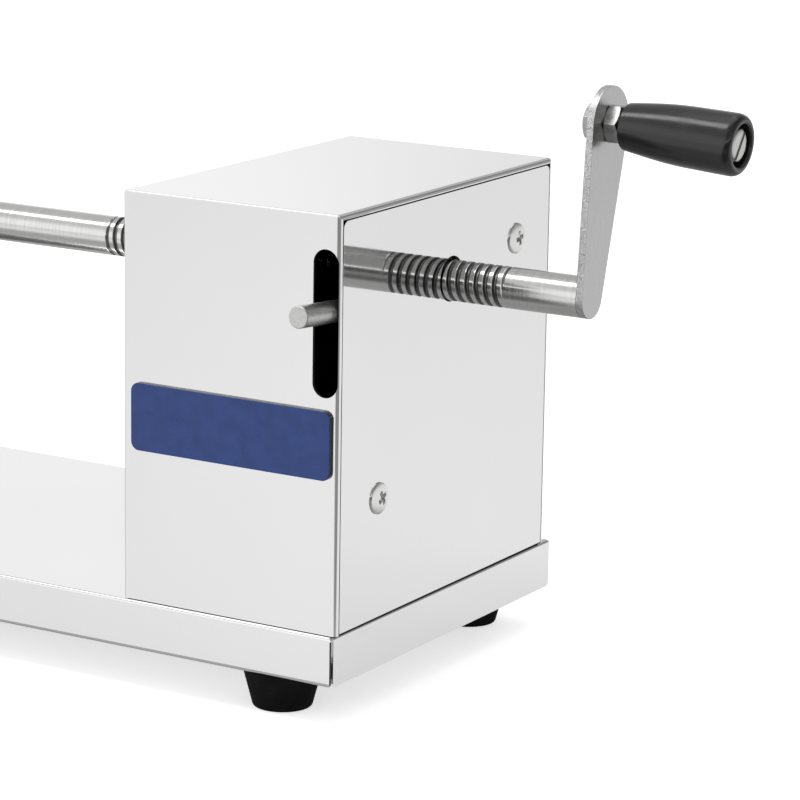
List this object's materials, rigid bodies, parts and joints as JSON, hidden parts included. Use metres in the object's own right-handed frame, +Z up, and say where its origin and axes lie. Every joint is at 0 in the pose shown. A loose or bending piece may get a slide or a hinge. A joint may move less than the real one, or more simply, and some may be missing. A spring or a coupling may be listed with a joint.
{
  "type": "hand-cranked spiral potato cutter",
  "caption": "Hand-cranked spiral potato cutter: steel housing on a long base, threaded feed shaft with crank and release pin, potato holder and upright blade.",
  "frame": {"origin": "on the table, under the centre of the whole machine's box", "axes": "+X along the feed shaft towards the crank, +Y away from the release pin, +Z up"},
  "size_m": [0.567, 0.1853, 0.2375],
  "materials": {
    "polished_stainless": "mirror-polished stainless sheet",
    "satin_stainless": "satin stainless, laser-cut edges",
    "turned_stainless": "turned and polished stainless bar",
    "zinc_plated": "zinc-plated steel fasteners",
    "bronze": "turned bronze",
    "black_rubber": "matte black rubber",
    "black_plastic": "glossy black phenolic plastic"
  },
  "bodies": {
    "frame": {"base_tray": "polished_stainless", "foot_near_crank": "black_rubber", "foot_far_crank": "black_rubber", "foot_near_blade": "black_rubber", "foot_far_blade": "black_rubber", "foot_bolts": "zinc_plated", "foot_nuts": "zinc_plated", "housing_cover": "polished_stainless", "end_panel_crank": "polished_stainless", "end_panel_blade": "polished_stainless", "bearing_bracket": "satin_stainless", "base_bolts": "zinc_plated", "base_nuts": "zinc_plated", "pivot_screw": "zinc_plated", "spring_post": "zinc_plated", "jam_nuts": "zinc_plated", "pivot_lock_nut": "zinc_plated", "return_spring": "zinc_plated", "blade_stand": "satin_stainless", "blade_spacer": "satin_stainless", "cutter_blade": "satin_stainless", "skewer_guide": "satin_stainless", "blade_bolts": "zinc_plated", "blade_nuts": "zinc_plated"},
    "bushes": {"shaft_bush_crank": "bronze", "bush_ring_crank": "bronze", "shaft_bush_blade": "bronze", "bush_ring_blade": "bronze"},
    "shaft": {"feed_shaft": "turned_stainless", "crank_arm": "satin_stainless", "handle_bolt": "zinc_plated", "handle_nuts": "zinc_plated", "potato_holder": "turned_stainless", "holder_prongs": "turned_stainless", "holder_set_screw": "zinc_plated"},
    "handle": {"handle_grip": "black_plastic"},
    "lever": {"rocker_lever": "satin_stainless", "half_nut": "bronze", "release_pin": "turned_stainless"}
  },
  "joints": [
    {"name": "crank_spin", "type": "hinge", "parent": "frame", "child": "bushes", "pos_m": [0.145, 0.0075, 0.1583], "axis": [1, 0, 0], "range_deg": [-2160, 12240]},
    {"name": "feed_slide", "type": "slide", "parent": "bushes", "child": "shaft", "axis": [1, 0, 0], "range_m": [-0.0241, 0.1361]},
    {"name": "handle_turn", "type": "hinge", "parent": "shaft", "child": "handle", "pos_m": [0.2286, 0.01907, 0.22307], "axis": [0.9982, 0, -0.0593], "continuous": true},
    {"name": "lever_lift", "type": "hinge", "parent": "frame", "child": "lever", "pos_m": [0.1611, 0.0572, 0.1668], "axis": [-1, 0, 0], "range_deg": [0, 7], "stiffness_Nm_per_rad": 4, "springref_deg": -17.19, "deforming": ["return_spring"]}
  ],
  "couplings": [
    {"joint": "feed_slide", "follows": "crank_spin", "m_per_rad": 0.00063662}
  ]
}
